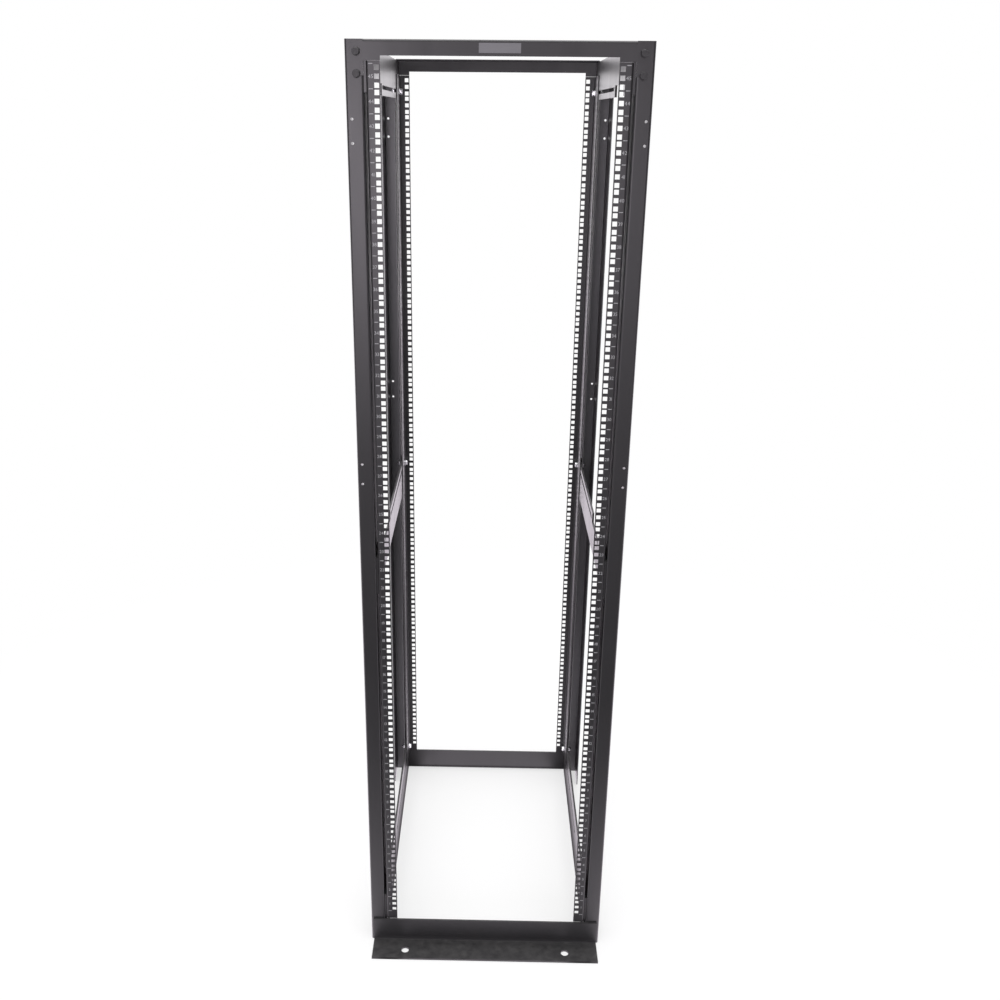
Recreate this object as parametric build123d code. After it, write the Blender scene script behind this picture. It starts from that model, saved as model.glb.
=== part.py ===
"""Four-post open frame rack, 45 units tall, bent sheet steel.

Millimetres, +Z up, the front of the rack faces -Y, the origin is on the
floor in the middle of the frame. The right front corner is drawn once and
mirrored to the other three.
"""
import os

from build123d import *

os.makedirs("parts", exist_ok=True)

# ---- overall size -------------------------------------------------------
RACK_HEIGHT = 2133.6
FRAME_DEPTH = 749.3          # outer face of the front flanges to that of the rear flanges
SHEET = 2.5                  # posts, rails and top beams
BEND_INSIDE = 2.0            # inside radius of every sheet bend
END_GAP = 0.5                # above and below the ends of the rails

# ---- outer posts, channels whose open side faces into the frame ----------
POST_FACE = 34.925           # width of the plate that faces out
POST_LEG = 76.2              # depth of the two legs
LEG_RELIEF = 63.5            # from the top of the rack down to the inner leg
SMALL_HOLE = 5.5
SMALL_HOLE_EDGE = 10.5       # from the outer side of the post
SMALL_HOLE_STEP = 44.4       # between the two holes of a pair
MIDDLE_PAIR = 1271.6         # height of the lower pair's middle
UPPER_PAIR_DROP = 163.5      # from the top of the rack to the upper pair's middle

# ---- mounting rails, 19 inch hole columns -------------------------------
UNIT = 44.45
UNIT_FLOOR = 90.75           # lower edge of unit 1
HOLE_LEVELS = (6.35, 22.225, 38.1)
SQUARE_HOLE = 9.5
CLEAR_HALF = 225.4           # half the clear opening between the rails
HOLE_TO_EDGE = 7.15          # from the free edge of the flange to the middle of the holes
RAIL_FLANGE = 27.0
RAIL_SIDE = 88.9

# ---- top beams ----------------------------------------------------------
BEAM_LEG = 28.6
EAR_DROP = 37.0              # from the top of the rack to the lower edge of an ear

# ---- floor angles -------------------------------------------------------
BASE_PLATE = 4.8
BASE_LENGTH = 571.5
BASE_LEG = 66.7
BASE_FOOT = 69.9             # from the post face to the free edge on the floor
BASE_BEND = 4.0
ANCHOR_HOLE = 19.05
ANCHOR_HALF = 203.2
ANCHOR_OUT = 41.9            # from the post face to the middle of the hole

# ---- side braces, flat bars held between the rails and the posts ---------
BRACE_PLATE = 4.775
BRACE_HEIGHT = 88.9
NOTCH_FRONT = -225.0         # ends of the notch in the slotted edge, from the middle of the frame
NOTCH_REAR = -75.0
NOTCH_DEPTH = 24.0
SLOT_EDGE = 17.0             # from the slotted edge to the middle of the slot
SLOT_HEIGHT = 8.7
SLOT_FRONT = -62.0
SLOT_TO_REAR = 12.0          # from the rear end of the slot to the rear post face
MID_SLOT_LEVEL = 1057.0
LOW_BRACE_FOOT = 6.35
LOW_BRACE_HEIGHT = 133.35
LOW_SLOT_LEVEL = 95.25

# ---- name plate ---------------------------------------------------------
PLATE_WIDTH = 79.0
PLATE_HEIGHT = 17.5
PLATE_THICKNESS = 1.0

front = -FRAME_DEPTH / 2
hole_column = CLEAR_HALF + HOLE_TO_EDGE
rail_outer = CLEAR_HALF + RAIL_FLANGE
post_inner = rail_outer + BRACE_PLATE
half_width = post_inner + POST_FACE
ear_level = RACK_HEIGHT - EAR_DROP
rail_low = BASE_LEG + END_GAP
rail_high = ear_level - END_GAP


def bent(points, thickness, inside):
    """Face of a bent sheet that follows a middle line, with true bend radii."""
    line = FilletPolyline(*points, radius=inside + thickness / 2)
    return trace(line, line_width=thickness)


def column(face, low, high):
    """Plan section raised from one level to another."""
    return Pos(0, 0, low) * extrude(face, amount=high - low)


def across(x, y, z, diameter):
    """Round cutter through a front or rear flange."""
    return Pos(x, y, z) * Rot(90, 0, 0) * Cylinder(diameter / 2, 8 * SHEET)


def post():
    """Right front post: plate that faces out and a leg back from each of its sides.

    The inner leg ends below the top beam; above it the plate is flat up to its edge.
    """
    half = SHEET / 2
    middle = [
        (post_inner + half, front + POST_LEG),
        (post_inner + half, front + half),
        (half_width - half, front + half),
        (half_width - half, front + POST_LEG),
    ]
    body = column(bent(middle, SHEET, BEND_INSIDE), 0, RACK_HEIGHT)
    bend = SHEET + BEND_INSIDE
    level = RACK_HEIGHT - LEG_RELIEF / 2
    body -= Pos(post_inner, front + POST_LEG / 2, level) * Box(2 * bend, 2 * POST_LEG, LEG_RELIEF)
    body += Pos(post_inner + bend / 2, front + half, level) * Box(bend, SHEET, LEG_RELIEF)
    x_hole = half_width - SMALL_HOLE_EDGE
    for pair in (MIDDLE_PAIR, RACK_HEIGHT - UPPER_PAIR_DROP):
        for side in (-1, 1):
            level = pair + side * SMALL_HOLE_STEP / 2
            body -= across(x_hole, front, level, SMALL_HOLE)
    return body


def rail():
    """Right front rail: flange with the hole column, side flange to the rear."""
    half = SHEET / 2
    middle = [
        (CLEAR_HALF, front + half),
        (rail_outer - half, front + half),
        (rail_outer - half, front + RAIL_SIDE),
    ]
    body = column(bent(middle, SHEET, BEND_INSIDE), rail_low, rail_high)
    unit_count = int((rail_high - UNIT_FLOOR) // UNIT)
    cells = []
    for unit in range(unit_count):
        for offset in HOLE_LEVELS:
            level = UNIT_FLOOR + unit * UNIT + offset
            cells.append(Pos(hole_column, level) * Rectangle(SQUARE_HOLE, SQUARE_HOLE))
    squares = Plane.XZ.offset(-front - 2 * SHEET) * (Sketch() + cells)
    return body - extrude(squares, amount=4 * SHEET)


def top_beam():
    """Front top beam: angle with an ear at each end, butted between the posts."""
    half = SHEET / 2
    middle = [
        (front + half, RACK_HEIGHT - BEAM_LEG),
        (front + half, RACK_HEIGHT - half),
        (front + BEAM_LEG, RACK_HEIGHT - half),
    ]
    section = Plane.YZ * bent(middle, SHEET, BEND_INSIDE)
    body = Pos(-post_inner, 0, 0) * extrude(section, amount=2 * post_inner)
    ear_width = post_inner - CLEAR_HALF
    ear_height = EAR_DROP - BEAM_LEG + 2 * SHEET
    for side in (-1, 1):
        x_ear = side * (CLEAR_HALF + ear_width / 2)
        ear = Box(ear_width, SHEET, ear_height)
        body += Pos(x_ear, front + half, ear_level + ear_height / 2) * ear
    return body


def base_angle():
    """Front floor angle: tall leg on the posts, flat leg out on the floor."""
    half = BASE_PLATE / 2
    middle = [
        (front - half, BASE_LEG),
        (front - half, half),
        (front - BASE_FOOT, half),
    ]
    section = Plane.YZ * bent(middle, BASE_PLATE, BASE_BEND)
    body = Pos(-BASE_LENGTH / 2, 0, 0) * extrude(section, amount=BASE_LENGTH)
    for side in (-1, 1):
        spot = Pos(side * ANCHOR_HALF, front - ANCHOR_OUT, half)
        body -= spot * Cylinder(ANCHOR_HOLE / 2, 2 * BASE_PLATE)
    return body


def brace(plain_edge, slotted_edge, slot_level, notched):
    """Right side brace: flat bar with a slot in its rear half, along which the rear rail can be moved."""
    length = FRAME_DEPTH - 2 * (SHEET + END_GAP)
    height = abs(slotted_edge - plain_edge)
    x_bar = rail_outer + BRACE_PLATE / 2
    body = Pos(x_bar, 0, (plain_edge + slotted_edge) / 2) * Box(BRACE_PLATE, length, height)
    if notched:
        notch = Box(2 * BRACE_PLATE, NOTCH_REAR - NOTCH_FRONT, 2 * NOTCH_DEPTH)
        body -= Pos(x_bar, (NOTCH_FRONT + NOTCH_REAR) / 2, slotted_edge) * notch
    slot_rear = -front - SLOT_TO_REAR
    slot = Plane.YZ * SlotOverall(slot_rear - SLOT_FRONT, SLOT_HEIGHT)
    cutter = extrude(slot, amount=2 * BRACE_PLATE, both=True)
    return body - Pos(x_bar, (SLOT_FRONT + slot_rear) / 2, slot_level) * cutter


def name_plate():
    """Bare plate on the middle of the front top beam."""
    level = RACK_HEIGHT - BEAM_LEG / 2
    plate = Box(PLATE_WIDTH, PLATE_THICKNESS, PLATE_HEIGHT)
    return Pos(0, front - PLATE_THICKNESS / 2, level) * plate


def save(name, body):
    export_step(body, "parts/" + name + ".step")


for kind, maker in (("post", post), ("rail", rail)):
    right = maker()
    left = mirror(right, about=Plane.YZ)
    save("front_right_" + kind, right)
    save("front_left_" + kind, left)
    save("rear_right_" + kind, mirror(right, about=Plane.XZ))
    save("rear_left_" + kind, mirror(left, about=Plane.XZ))

for kind, maker in (("top_beam", top_beam), ("base_angle", base_angle)):
    body = maker()
    save("front_" + kind, body)
    save("rear_" + kind, mirror(body, about=Plane.XZ))

top_edge = RACK_HEIGHT - SHEET - BEND_INSIDE
top_slotted = top_edge - BRACE_HEIGHT
mid_slotted = MID_SLOT_LEVEL + SLOT_EDGE
low_edge = LOW_BRACE_FOOT + LOW_BRACE_HEIGHT
for kind, right in (
    ("top_brace", brace(top_edge, top_slotted, top_slotted + SLOT_EDGE, True)),
    ("mid_brace", brace(mid_slotted - BRACE_HEIGHT, mid_slotted, MID_SLOT_LEVEL, True)),
    ("bottom_brace", brace(LOW_BRACE_FOOT, low_edge, LOW_SLOT_LEVEL, False)),
):
    save("right_" + kind, right)
    save("left_" + kind, mirror(right, about=Plane.YZ))

save("name_plate", name_plate())
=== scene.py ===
"""Finish, bolts and unit marks of a four-post open frame rack, 45 units tall.

Metres, +Z up, the front of the rack faces -Y, the origin is on the floor in
the middle of the frame.
"""

import bpy
import numpy as np
from bpy.props import FloatProperty, FloatVectorProperty, PointerProperty
from mathutils import Matrix, Vector


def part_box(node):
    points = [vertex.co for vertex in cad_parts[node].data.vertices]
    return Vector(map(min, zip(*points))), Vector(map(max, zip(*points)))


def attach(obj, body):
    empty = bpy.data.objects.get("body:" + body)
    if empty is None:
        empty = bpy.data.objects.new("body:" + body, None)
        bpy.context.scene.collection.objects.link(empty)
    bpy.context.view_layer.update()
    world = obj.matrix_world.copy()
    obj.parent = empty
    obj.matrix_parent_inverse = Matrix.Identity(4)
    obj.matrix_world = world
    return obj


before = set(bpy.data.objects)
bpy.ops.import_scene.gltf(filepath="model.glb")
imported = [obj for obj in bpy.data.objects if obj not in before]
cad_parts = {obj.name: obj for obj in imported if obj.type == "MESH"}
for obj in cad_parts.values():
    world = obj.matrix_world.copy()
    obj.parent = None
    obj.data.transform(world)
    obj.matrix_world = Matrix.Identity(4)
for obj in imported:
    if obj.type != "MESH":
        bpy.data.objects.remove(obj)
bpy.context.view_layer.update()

bl_info = {
    "name": "Open frame rack finish",
    "version": (1, 0, 0),
    "blender": (4, 5, 0),
    "location": "View3D > Sidebar > Rack",
    "description": "Powder coat, bolts, unit marks and studio of an open frame rack",
    "category": "Object",
}

UNIT = 0.04445               # one rack unit
UNIT_FLOOR = 0.09075         # lower edge of unit 1
UNIT_COUNT = 45
SHEET = 0.0025               # posts and rails
BASE_PLATE = 0.0048          # floor angles
BASE_BEND = 0.004            # inside radius of the floor angles' bend
BEND_FADE = 0.006            # over which the matt coat of the bend fades out
BEND_MATT = 0.4              # roughness added in the bend
INNER_PAINTED_LIGHT = 7.0             # painted light: coat inside the posts made lighter than the coat outside, in place of the light on their inner faces
DARKER_MIDDLE_NEAR, DARKER_MIDDLE_FAR = 0.14, 0.25    # from the middle of the rack, where a beam's darker and rougher middle fades out
DUST = (0.33, 0.32, 0.31, 1.0)
BOLT_TO_FACE = 0.019         # from the post face to the rail bolts
RAIL_BOLT_LEVELS = (0.09525, 1.057, 2.0572)
POST_BOLT_LEVELS = (2.073, 2.112)
POST_BOLT_SIDE = 0.2705      # from the middle of the rack to the post bolts
MARK_SIDE = 0.2438           # from the middle of the rack to the middle of the unit marks
MARK_LIFT = 0.00012          # ink surface in front of the rail
CAMERA_SPOT = (-0.0150, -2.4752, 1.9990)
CAMERA_TURN, CAMERA_DROP, CAMERA_ROLL = 0.912, 20.435, 0.509    # degrees
CAMERA_SENSOR = 36.0         # millimetres
CAMERA_LENS = 1.0295 * CAMERA_SENSOR
TAU = 2 * np.pi
WHITE = (1.0, 1.0, 1.0, 1.0)
CAST = (0.99, 0.915, 1.0, 1.0)    # of the front lamp, and of the surroundings in reflections

POSTS = [f"{end}_{side}_post" for end in ("front", "rear") for side in ("left", "right")]
RAILS = [f"{end}_{side}_rail" for end in ("front", "rear") for side in ("left", "right")]
BEAMS = ["front_top_beam", "rear_top_beam"]
BASES = ["front_base_angle", "rear_base_angle"]
BRACES = [f"{side}_{level}_brace" for side in ("left", "right") for level in ("top", "mid", "bottom")]


class RackSettings(bpy.types.PropertyGroup):
    """Sizes and colours of the rack's finish and hardware."""

    coat_colour: FloatVectorProperty(
        name="Coat colour", description="Black powder coat on all sheet pieces",
        subtype="COLOR", size=3, min=0, max=1, default=(0.0110, 0.0109, 0.0115))
    coat_roughness: FloatProperty(
        name="Coat roughness", description="Satin of the powder coat, 0 is a mirror",
        min=0, max=1, default=0.36, subtype="FACTOR")
    coat_gloss: FloatProperty(
        name="Coat gloss", description="Strength of the coat's reflection",
        min=0, max=1, default=0.5, subtype="FACTOR")
    zinc_colour: FloatVectorProperty(
        name="Zinc colour", description="Plated bolts and nuts on the rails",
        subtype="COLOR", size=3, min=0, max=1, default=(0.78, 0.79, 0.80))
    mark_colour: FloatVectorProperty(
        name="Mark colour", description="Printed unit numbers and lines",
        subtype="COLOR", size=3, min=0, max=1, default=(0.32, 0.32, 0.33))
    plate_colour: FloatVectorProperty(
        name="Plate colour", description="Bare name plate",
        subtype="COLOR", size=3, min=0, max=1, default=(0.098, 0.098, 0.103))
    across_flats: FloatProperty(
        name="Across flats", description="Width of a bolt head or nut over its flats",
        min=0.004, max=0.03, default=0.013, unit="LENGTH")
    head_height: FloatProperty(
        name="Head height", description="Height of a bolt head over its washer",
        min=0.002, max=0.02, default=0.0055, unit="LENGTH")
    washer_radius: FloatProperty(
        name="Washer radius", description="Outer radius of the washers",
        min=0.004, max=0.03, default=0.008, unit="LENGTH")
    washer_thickness: FloatProperty(
        name="Washer thickness", description="Thickness of the washers",
        min=0.0005, max=0.004, default=0.0016, unit="LENGTH")
    number_height: FloatProperty(
        name="Number height", description="Height of a unit number",
        min=0.002, max=0.02, default=0.0070, unit="LENGTH")
    line_length: FloatProperty(
        name="Line length", description="Length of the line between two units",
        min=0.002, max=0.02, default=0.0080, unit="LENGTH")
    line_width: FloatProperty(
        name="Line width", description="Width of the line between two units",
        min=0.0002, max=0.004, default=0.0014, unit="LENGTH")
    overhead_power: FloatProperty(
        name="Overhead lamp", description="Power of the soft lamp above the rack",
        min=0, max=2000, default=120, unit="POWER")
    front_power: FloatProperty(
        name="Front lamp", description="Power of the soft lamp behind the camera",
        min=0, max=2000, default=150, unit="POWER")
    rear_power: FloatProperty(
        name="Rear lamp", description="Power of the wide soft lamp behind the rack",
        min=0, max=2000, default=45, unit="POWER")


# ---- shader maths --------------------------------------------------------

class Wire:
    """Output socket of a finish; arithmetic on it adds Math nodes."""

    def __init__(self, finish, socket):
        self.finish = finish
        self.socket = socket

    def _math(self, operation, first, second):
        return self.finish.node("ShaderNodeMath", {"operation": operation}, {0: first, 1: second})

    def __add__(self, other):
        return self._math("ADD", self, other)

    __radd__ = __add__

    def __sub__(self, other):
        return self._math("SUBTRACT", self, other)

    def __rsub__(self, other):
        return self._math("SUBTRACT", other, self)

    def __mul__(self, other):
        return self._math("MULTIPLY", self, other)

    __rmul__ = __mul__

    def __abs__(self):
        return self._math("ABSOLUTE", self, 0.0)

    def clamped(self, low, high):
        """Value stretched so that low becomes 0 and high becomes 1, held between them."""
        return self.finish.node("ShaderNodeMapRange", {"clamp": True}, {
            "Value": self, "From Min": low, "From Max": high})


class Finish:
    """A material in the making."""

    def __init__(self, name):
        self.material = bpy.data.materials.new(name)
        self.material.use_nodes = True
        self.tree = self.material.node_tree
        self.shader = self.tree.nodes["Principled BSDF"]

    def node(self, kind, settings=None, inputs=None, output=0):
        """Adds a node: settings first, then values or wires into its sockets."""
        made = self.tree.nodes.new(kind)
        for name, value in (settings or {}).items():
            setattr(made, name, value)
        for name, value in (inputs or {}).items():
            self.feed(made.inputs[name], value)
        return Wire(self, made.outputs[output])

    def feed(self, socket, value):
        if isinstance(value, Wire):
            self.tree.links.new(value.socket, socket)
        else:
            socket.default_value = value

    def set(self, **sockets):
        """Feeds the shader; a double underscore in a name stands for a space."""
        for name, value in sockets.items():
            self.feed(self.shader.inputs[name.replace("__", " ")], value)

    def place(self, stretch=(1, 1, 1)):
        """Object coordinates, stretched along each axis."""
        spot = self.node("ShaderNodeTexCoord", output="Object")
        return self.node("ShaderNodeMapping", None, {"Vector": spot, "Scale": stretch})

    def axis(self, vector, name):
        """One coordinate of a vector."""
        return self.node("ShaderNodeSeparateXYZ", None, {"Vector": vector}, output=name)

    def noise(self, vector, scale, detail=3.0, roughness=0.5):
        return self.node("ShaderNodeTexNoise", None, {
            "Vector": vector, "Scale": scale, "Detail": detail, "Roughness": roughness})

    def mix(self, factor, first, second):
        """Blend of two colours."""
        made = self.tree.nodes.new("ShaderNodeMix")
        made.data_type = "RGBA"
        for index, value in ((0, factor), (6, first), (7, second)):
            self.feed(made.inputs[index], value)
        return Wire(self, made.outputs[2])

    def bump(self, height, strength, distance):
        return self.node("ShaderNodeBump", None, {
            "Height": height, "Strength": strength, "Distance": distance})


def shade(colour, factor):
    """A colour made darker or lighter, with full alpha."""
    return tuple(min(1.0, part * factor) for part in colour) + (1.0,)


def inside_channel(finish, place, node):
    """1 on the inner faces of the channel posts, 0 on their outer faces."""
    low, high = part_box(node)
    core, side, face = abs(low[0]), abs(high[0]), abs(low[1])
    across, along = abs(finish.axis(place, "X")), abs(finish.axis(place, "Y"))
    near, far = 0.2 * SHEET, 0.8 * SHEET
    within = across.clamped(core + near, core + far) * (1.0 - across.clamped(side - far, side - near))
    return within * (1.0 - along.clamped(face - far, face - near))


def inside_bend(finish, place, node):
    """1 in the inner bend of a floor angle, 0 further up its leg and out on its foot."""
    leg = min(abs(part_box(node)[0][1]), abs(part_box(node)[1][1])) + BASE_PLATE
    level, out = finish.axis(place, "Z"), abs(finish.axis(place, "Y"))
    reach = BASE_PLATE + BASE_BEND
    start = leg + BASE_BEND
    return (1.0 - level.clamped(reach, reach + BEND_FADE)) * (1.0 - out.clamped(start, start + BEND_FADE))


def powder_coat(name, settings, tone=1.0, rough=0.0, channel=None, darker_middle=None, corner=None):
    """Satin black powder coat: fine orange peel, cloudy tone, streaks in its roughness, dust on top.

    Inside a channel the coat is painted lighter, painted light in place of the light that falls on the inner
    faces. A beam can be darker and rougher in its middle than at its ends. In the corner of a floor angle the
    coat is matt.
    """
    finish = Finish(name)
    place = finish.place()
    cloud = finish.noise(place, 5.0, 3.0)
    peel = finish.noise(place, 620.0, 2.0)
    speck = finish.noise(place, 2300.0, 1.0)
    streak = finish.noise(finish.place((38, 38, 2.2)), 1.0, 4.0, 0.6)
    facing = finish.node("ShaderNodeTexCoord", output="Normal")
    upward = finish.axis(facing, "Z").clamped(0.55, 0.95)
    dust = upward * finish.noise(place, 55.0, 5.0, 0.65).clamped(0.30, 0.75)
    coat = finish.mix(
        cloud, shade(settings.coat_colour, 0.78 * tone), shade(settings.coat_colour, 1.22 * tone))
    coat = finish.mix(dust * 0.10, coat, DUST)
    level = settings.coat_roughness + rough
    if channel:
        # painted light: the inner faces of the channel are coloured lighter in place of the light that falls
        # on them
        painted_light_inside = inside_channel(finish, place, channel)
        coat = finish.mix(painted_light_inside, coat, shade(settings.coat_colour, INNER_PAINTED_LIGHT))
    # a beam is coloured darker and made rougher in its middle than at its ends
    if darker_middle:
        middle = 1.0 - abs(finish.axis(place, "X")).clamped(DARKER_MIDDLE_NEAR, DARKER_MIDDLE_FAR)
        coat = finish.mix(middle, coat, shade(settings.coat_colour, darker_middle[0]))
        level = middle * darker_middle[1] + level
    if corner:
        level = inside_bend(finish, place, corner) * BEND_MATT + level
    relief = peel * 0.8 + speck * 0.2
    finish.set(
        Base__Color=coat,
        Roughness=(streak - 0.5) * 0.10 + (cloud - 0.5) * 0.06 + dust * 0.12 + level,
        Specular__IOR__Level=settings.coat_gloss,
        Normal=finish.bump(relief, 0.22, 0.00035),
    )
    return finish.material


def zinc_plate(name, settings):
    """Bright zinc plating with a faint blue cast, turned rings and small stains."""
    finish = Finish(name)
    place = finish.place()
    stain = finish.noise(place, 160.0, 4.0, 0.6)
    grain = finish.noise(place, 1800.0, 2.0)
    finish.set(
        Base__Color=finish.mix(
            stain.clamped(0.3, 0.7), shade(settings.zinc_colour, 0.80), shade(settings.zinc_colour, 1.08)),
        Metallic=1.0,
        Roughness=stain * 0.16 + grain * 0.08 + 0.16,
        Normal=finish.bump(grain, 0.15, 0.0001),
    )
    return finish.material


def print_ink(name, settings):
    """Screen-printed grey ink, a little sparse and uneven."""
    finish = Finish(name)
    cover = finish.noise(finish.place(), 900.0, 4.0, 0.7).clamped(0.30, 0.62)
    finish.set(
        Base__Color=finish.mix(cover, shade(settings.mark_colour, 0.62), shade(settings.mark_colour, 1.0)),
        Roughness=0.62 - cover * 0.08,
        Normal=finish.bump(cover, 0.1, 0.00005),
    )
    return finish.material


def brushed_plate(name, settings):
    """Grey anodised plate, brushed along its length."""
    finish = Finish(name)
    brush = finish.noise(finish.place((30, 400, 2600)), 1.0, 3.0, 0.7)
    cloud = finish.noise(finish.place(), 30.0, 2.0)
    finish.set(
        Base__Color=finish.mix(brush, shade(settings.plate_colour, 0.85), shade(settings.plate_colour, 1.12)),
        Metallic=0.25,
        Roughness=brush * 0.14 + cloud * 0.08 + 0.30,
        Normal=finish.bump(brush, 0.12, 0.0001),
    )
    return finish.material


# ---- surfaces ------------------------------------------------------------

def turned(profile, steps=24):
    """Closed surface swept once round +Z.

    Each row of the profile is (radius, height, flats): a ring at that height
    whose distance from the axis is the radius, divided, where flats is 1, by
    the cosine of the angle to the middle of the nearest of six flats. A pole
    closes each end.
    """
    radius, height, flats = np.array(profile, float).T
    angle = np.arange(steps) * TAU / steps
    off_flat = (angle + TAU / 12) % (TAU / 6) - TAU / 12
    reach = radius[:, None] * (1 + flats[:, None] * (1 / np.cos(off_flat) - 1))
    rings = np.stack([
        reach * np.cos(angle), reach * np.sin(angle), np.broadcast_to(height[:, None], reach.shape)], axis=2)
    points = np.concatenate([rings.reshape(-1, 3), [[0, 0, height[0]], [0, 0, height[-1]]]])
    row = np.arange(len(radius) - 1)[:, None] * steps
    here = np.arange(steps)
    after = (here + 1) % steps
    wall = np.stack([row + here, row + after, row + steps + after, row + steps + here], axis=2).reshape(-1, 4)
    last = (len(radius) - 1) * steps
    low, high = len(points) - 2, len(points) - 1
    foot = np.stack([np.full(steps, low), after, here], axis=1)
    crown = np.stack([np.full(steps, high), last + here, last + after], axis=1)
    return points, [wall, foot, crown]


def facing(direction):
    """Turn that brings +Z to a direction along one axis, and +Y to +Z where it can."""
    ahead = np.array(direction, float)
    up = np.array([0.0, 0.0, 1.0])
    side = np.cross(up, ahead)
    return np.stack([side, up, ahead])


def merged(parts):
    """One set of points and faces from several."""
    points, faces, offset = [], [], 0
    for spots, groups in parts:
        points.append(spots)
        faces += [group + offset for group in groups]
        offset += len(spots)
    return np.concatenate(points), faces


def copies(shape, places):
    """The shape turned to a direction and set at a point, once for each place."""
    points, groups = shape
    return merged([(points @ facing(direction) + spot, groups) for spot, direction in places])


def make_piece(name, shape, material, crease=28):
    """Mesh object that rides on the frame."""
    points, groups = shape
    mesh = bpy.data.meshes.new(name)
    mesh.from_pydata(points.tolist(), [], [face for group in groups for face in group.tolist()])
    mesh.shade_smooth()
    mesh.set_sharp_from_angle(angle=np.radians(crease))
    mesh.materials.append(material)
    piece = bpy.data.objects.new(name, mesh)
    bpy.context.scene.collection.objects.link(piece)
    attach(piece, "root")
    return piece


def bolt_head(settings):
    """Washer and hexagon head with a turned chamfer on its corners."""
    flat = settings.across_flats / 2
    disc, thick = settings.washer_radius, settings.washer_thickness
    top = thick + settings.head_height
    return turned([
        (disc, 0.0, 0), (disc, thick * 0.8, 0), (disc - thick * 0.2, thick, 0),
        (flat, thick, 1), (flat, top - flat * 0.14, 1), (flat * 0.97, top - flat * 0.06, 0.45),
        (flat * 0.92, top, 0), (flat * 0.55, top, 0), (flat * 0.50, top - 0.0003, 0),
    ])


def nut_and_thread(settings):
    """Washer, hexagon nut chamfered on its face, and the end of the bolt through it."""
    flat = settings.across_flats / 2
    disc, thick = settings.washer_radius, settings.washer_thickness
    top = thick + settings.head_height * 1.15
    stem = flat * 0.61
    threads = [(stem * (1.0 if step % 2 else 0.93), top + step * 0.0006, 0) for step in range(6)]
    return turned([
        (disc, 0.0, 0), (disc, thick * 0.8, 0), (disc - thick * 0.2, thick, 0),
        (flat, thick, 1), (flat, top - flat * 0.14, 1), (flat * 0.95, top, 0),
    ] + threads + [(stem * 0.8, top + 0.0036, 0)])


def dressed(nodes, material):
    """Gives CAD nodes a material."""
    for node in nodes:
        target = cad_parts[node]
        for slot in target.material_slots:
            slot.material = material


# ---- operators -----------------------------------------------------------

class RACK_OT_coat(bpy.types.Operator):
    """Coats the sheet pieces and finishes the name plate"""

    bl_idname = "rack.coat"
    bl_label = "Coat sheet pieces"

    def execute(self, context):
        settings = context.scene.rack_settings
        # the posts' coat carries painted light on the inner faces of their channels
        dressed(POSTS, powder_coat("post_coat", settings, channel="front_right_post"))
        dressed(RAILS, powder_coat("rail_coat", settings, 1.0, 0.02))
        dressed(BEAMS, powder_coat("beam_coat", settings, darker_middle=(0.55, 0.10)))
        dressed(BASES, powder_coat("base_coat", settings, 1.0, 0.12, corner="front_base_angle"))
        dressed(BRACES, powder_coat("brace_coat", settings, 1.0, -0.02))
        dressed(["name_plate"], brushed_plate("plate_finish", settings))
        return {"FINISHED"}


class RACK_OT_rail_bolts(bpy.types.Operator):
    """Bolts each rail through the three braces beside it to the post"""

    bl_idname = "rack.rail_bolts"
    bl_label = "Bolt rails"

    def execute(self, context):
        settings = context.scene.rack_settings
        heads, nuts = [], []
        for side, sign in (("left", -1), ("right", 1)):
            rail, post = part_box(f"front_{side}_rail"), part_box(f"front_{side}_post")
            rail_inner = max(abs(rail[0][0]), abs(rail[1][0])) - SHEET
            leg_inner = min(abs(post[0][0]), abs(post[1][0])) + SHEET
            y_bolt = abs(rail[0][1]) - BOLT_TO_FACE
            for height in RAIL_BOLT_LEVELS:
                for end in (-1, 1):
                    heads.append(((sign * rail_inner, end * y_bolt, height), (-sign, 0, 0)))
                    nuts.append(((sign * leg_inner, end * y_bolt, height), (sign, 0, 0)))
        zinc = zinc_plate("bolt_zinc", settings)
        make_piece("rail_bolts", copies(bolt_head(settings), heads), zinc)
        make_piece("rail_nuts", copies(nut_and_thread(settings), nuts), zinc)
        return {"FINISHED"}


class RACK_OT_post_bolts(bpy.types.Operator):
    """Puts two dark bolts on the head of each post"""

    bl_idname = "rack.post_bolts"
    bl_label = "Bolt posts"

    def execute(self, context):
        settings = context.scene.rack_settings
        face = abs(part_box("front_left_post")[0][1])
        heads, nuts = [], []
        for x_bolt in (-POST_BOLT_SIDE, POST_BOLT_SIDE):
            for end in (-1, 1):
                for height in POST_BOLT_LEVELS:
                    heads.append(((x_bolt, end * face, height), (0, end, 0)))
                    nuts.append(((x_bolt, end * (face - SHEET), height), (0, -end, 0)))
        black = powder_coat("bolt_black", settings, 1.1, 0.12)
        make_piece("post_bolts", copies(bolt_head(settings), heads), black)
        make_piece("post_nuts", copies(nut_and_thread(settings), nuts), zinc_plate("nut_zinc", settings))
        return {"FINISHED"}


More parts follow.
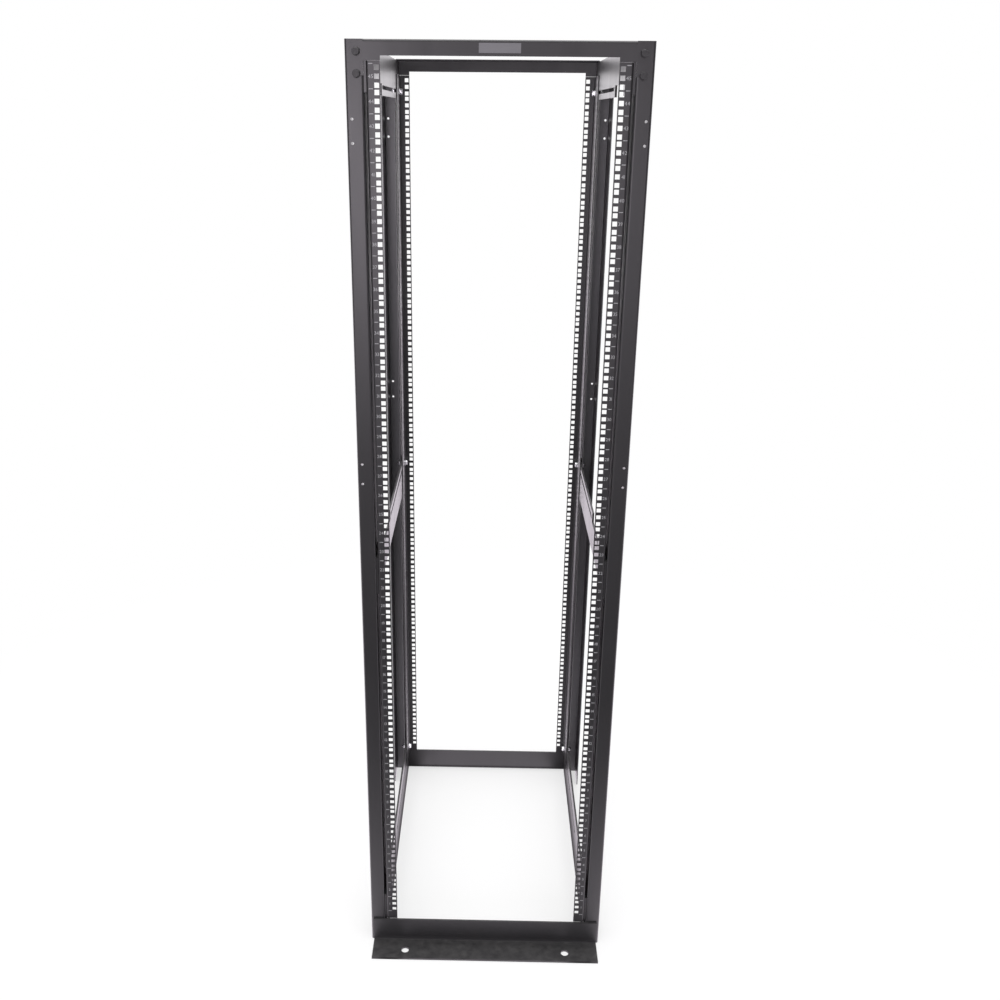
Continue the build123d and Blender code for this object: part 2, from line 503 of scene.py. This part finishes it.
class RACK_OT_unit_marks(bpy.types.Operator):
    """Prints the unit numbers and the lines between units on the four rails"""

    bl_idname = "rack.unit_marks"
    bl_label = "Print unit marks"

    def digit(self, character, size):
        """Flat triangles of one digit in its own plane, its lower left corner at the origin."""
        curve = bpy.data.curves.new("digit", "FONT")
        curve.body = character
        curve.size = size
        curve.resolution_u = 2
        holder = bpy.data.objects.new("digit", curve)
        mesh = bpy.data.meshes.new_from_object(holder)
        mesh.calc_loop_triangles()
        points = np.empty(len(mesh.vertices) * 3)
        mesh.vertices.foreach_get("co", points)
        corners = np.empty(len(mesh.loop_triangles) * 3, np.int32)
        mesh.loop_triangles.foreach_get("vertices", corners)
        points, corners = points.reshape(-1, 3), corners.reshape(-1, 3)
        a, b, c = (points[corners[:, index]] for index in range(3))
        turned_away = np.cross(b - a, c - a)[:, 2] < 0
        corners[turned_away] = corners[turned_away][:, ::-1]
        low = points.min(axis=0)
        width = points[:, 0].max() - low[0]
        bpy.data.objects.remove(holder)
        bpy.data.curves.remove(curve)
        bpy.data.meshes.remove(mesh)
        return points - low, corners, width

    def execute(self, context):
        settings = context.scene.rack_settings
        digits = {str(value): self.digit(str(value), settings.number_height / 0.7) for value in range(10)}
        ink = print_ink("mark_ink", settings)
        half_long, half_wide = settings.line_length / 2, settings.line_width / 2
        line = np.array([(-1, -1), (1, -1), (1, 1), (-1, 1)]) * (half_long, half_wide)
        quad = np.array([[0, 1, 2, 3]])
        gap = settings.number_height * 0.12
        for node in RAILS:
            low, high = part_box(node)
            sign = 1 if high[0] > 0 else -1
            end = -1 if low[1] < 0 else 1
            x_mark = sign * MARK_SIDE
            flat = []
            for unit in range(1, UNIT_COUNT + 1):
                glyphs = [digits[character] for character in str(unit)]
                total = sum(glyph[2] for glyph in glyphs) + gap * (len(glyphs) - 1)
                pen = -total / 2
                middle = UNIT_FLOOR + (unit - 0.5) * UNIT - settings.number_height / 2
                for points, corners, width in glyphs:
                    flat.append((points + (pen, middle, 0), [corners]))
                    pen += width + gap
            for border in range(UNIT_COUNT + 1):
                level = UNIT_FLOOR + border * UNIT
                flat.append((np.column_stack([line[:, 0], line[:, 1] + level, np.zeros(4)]), [quad]))
            points, groups = merged(flat)
            across = -end * points[:, 0] + x_mark
            face = end * (max(abs(low[1]), abs(high[1])) + MARK_LIFT)
            spots = np.column_stack([across, np.full(len(points), face), points[:, 1]])
            make_piece(node + "_marks", (spots, groups), ink)
        return {"FINISHED"}


class RACK_OT_stage(bpy.types.Operator):
    """Sets the floor, the lamps, the white surroundings and the camera"""

    bl_idname = "rack.stage"
    bl_label = "Set the stage"

    def lamp(self, name, power, width, height, spot, target, tint=WHITE):
        light = bpy.data.lights.new(name, "AREA")
        light.shape = "RECTANGLE"
        light.color = tint[:3]
        light.size, light.size_y, light.energy = width, height, power
        holder = bpy.data.objects.new(name, light)
        ahead = Vector(target) - Vector(spot)
        holder.rotation_euler = ahead.to_track_quat("-Z", "Y").to_euler()
        holder.location = spot
        holder.visible_camera = False
        bpy.context.scene.collection.objects.link(holder)

    def path(self, finish):
        """Rays from the camera and rays in reflections, each as 1 or 0."""
        path = finish.tree.nodes.new("ShaderNodeLightPath")
        return [Wire(finish, path.outputs[name]) for name in ("Is Camera Ray", "Is Glossy Ray")]

    def floor(self):
        """Pale floor with a soft shadow and plain white further out. In reflections it glows as painted
        light: brighter behind and beside the rack, with a painted pool of light round the rack broken by
        painted shadow strips under the sides of the frame.
        """
        finish = Finish("floor_paint")
        place = finish.place()
        dim = finish.noise(place, 0.6, 2.0)
        camera, glossy = self.path(finish)
        away = finish.node("ShaderNodeVectorMath", {"operation": "LENGTH"}, {0: place}, output="Value")
        finish.set(
            Base__Color=finish.mix(dim, (0.78, 0.78, 0.78, 1), (0.82, 0.82, 0.82, 1)),
            Roughness=0.9,
            Specular__IOR__Level=0.0,
        )
        # painted reflection: the floor glows in reflections, brighter behind and to the sides, with a painted
        # pool of light round the rack broken by painted shadow strips under the sides of the frame
        depth, side = finish.axis(place, "Y"), abs(finish.axis(place, "X"))
        beside = side.clamped(0.6, 1.4) * 0.6
        off_painted_shadow = abs(side - 0.245).clamped(0.015, 0.045)
        painted_light_pool = off_painted_shadow * (1.0 - abs(depth).clamped(0.40, 1.25)) * 2.4
        painted_reflection_glow = painted_light_pool + depth.clamped(0.7, 1.7) + depth.clamped(1.7, 2.5) * 0.9 + beside + 0.20
        glow = finish.node("ShaderNodeEmission", None, {
            "Color": finish.mix(glossy, WHITE, CAST), "Strength": camera + glossy * painted_reflection_glow})
        both = finish.node("ShaderNodeMixShader", None, {
            0: camera * (away.clamped(0.5, 2.2) * 0.4 + 0.6) + glossy,
            1: Wire(finish, finish.shader.outputs[0]), 2: glow})
        finish.feed(finish.tree.nodes["Material Output"].inputs["Surface"], both)
        reach = np.array([(-1, -1, 0), (1, -1, 0), (1, 1, 0), (-1, 1, 0)]) * 14.0 - (0, 0, 0.0004)
        mesh = bpy.data.meshes.new("studio_floor")
        mesh.from_pydata(reach.tolist(), [], [(0, 1, 2, 3)])
        mesh.materials.append(finish.material)
        plane = bpy.data.objects.new("studio_floor", mesh)
        bpy.context.scene.collection.objects.link(plane)

    def surroundings(self):
        """White where it is seen; as a light it is bright behind and above the rack, dim in front.

        Reflections of it, like those of the floor, have a faint violet cast.
        """
        world = bpy.data.worlds.new("studio")
        world.use_nodes = True
        finish = Finish.__new__(Finish)
        finish.tree = world.node_tree
        background = finish.tree.nodes["Background"]
        camera, glossy = self.path(finish)
        finish.feed(background.inputs["Color"], finish.mix(glossy, WHITE, CAST))
        toward = finish.node("ShaderNodeTexCoord", output="Generated")
        behind = finish.axis(toward, "Y").clamped(-0.3, 0.5)
        above = finish.axis(toward, "Z").clamped(0.1, 0.6)
        bright = behind * 0.85 + (1.0 - behind) * above * 0.8 + 0.12
        finish.feed(background.inputs["Strength"], camera + (1.0 - camera) * bright)
        bpy.context.scene.world = world

    def camera(self):
        """Camera a little above eye level, turned and tilted like the photographer's."""
        lens = bpy.data.cameras.new("camera")
        lens.sensor_width = CAMERA_SENSOR
        lens.lens = CAMERA_LENS
        lens.shift_x = 0.03
        holder = bpy.data.objects.new("camera", lens)
        turn = Matrix.Rotation(np.radians(CAMERA_TURN), 4, "Z")
        down = Matrix.Rotation(np.radians(90 - CAMERA_DROP), 4, "X")
        roll = Matrix.Rotation(np.radians(CAMERA_ROLL), 4, "Z")
        holder.matrix_world = Matrix.Translation(CAMERA_SPOT) @ turn @ down @ roll
        bpy.context.scene.collection.objects.link(holder)
        bpy.context.scene.camera = holder

    def execute(self, context):
        settings = context.scene.rack_settings
        self.floor()
        self.surroundings()
        self.lamp("overhead_lamp", settings.overhead_power, 3.4, 3.4, (0.0, -0.4, 4.3), (0.0, -0.2, 0.0))
        self.lamp("front_lamp", settings.front_power, 3.5, 1.6, (-1.1, -6.0, 1.75), (-0.2, 0.0, 1.3), CAST)
        self.lamp("rear_lamp", settings.rear_power, 4.0, 2.6, (0.0, 4.6, 2.0), (0.0, 0.0, 1.4))
        self.camera()
        context.scene.view_settings.view_transform = "Standard"
        return {"FINISHED"}


class RACK_PT_tools(bpy.types.Panel):
    """Lists the rack's operators in the sidebar"""

    bl_idname = "RACK_PT_tools"
    bl_label = "Open frame rack"
    bl_space_type = "VIEW_3D"
    bl_region_type = "UI"
    bl_category = "Rack"

    def draw(self, context):
        for operator in OPERATORS:
            self.layout.operator(operator.bl_idname)
        for name in RackSettings.__annotations__:
            self.layout.prop(context.scene.rack_settings, name)


OPERATORS = (RACK_OT_coat, RACK_OT_rail_bolts, RACK_OT_post_bolts, RACK_OT_unit_marks, RACK_OT_stage)
CLASSES = (RackSettings, *OPERATORS, RACK_PT_tools)


def register():
    for item in CLASSES:
        bpy.utils.register_class(item)
    bpy.types.Scene.rack_settings = PointerProperty(type=RackSettings)


def unregister():
    del bpy.types.Scene.rack_settings
    for item in reversed(CLASSES):
        bpy.utils.unregister_class(item)


def main():
    register()
    bpy.ops.rack.coat()
    bpy.ops.rack.rail_bolts()
    bpy.ops.rack.post_bolts()
    bpy.ops.rack.unit_marks()
    bpy.ops.rack.stage()


if __name__ == "__main__":
    main()
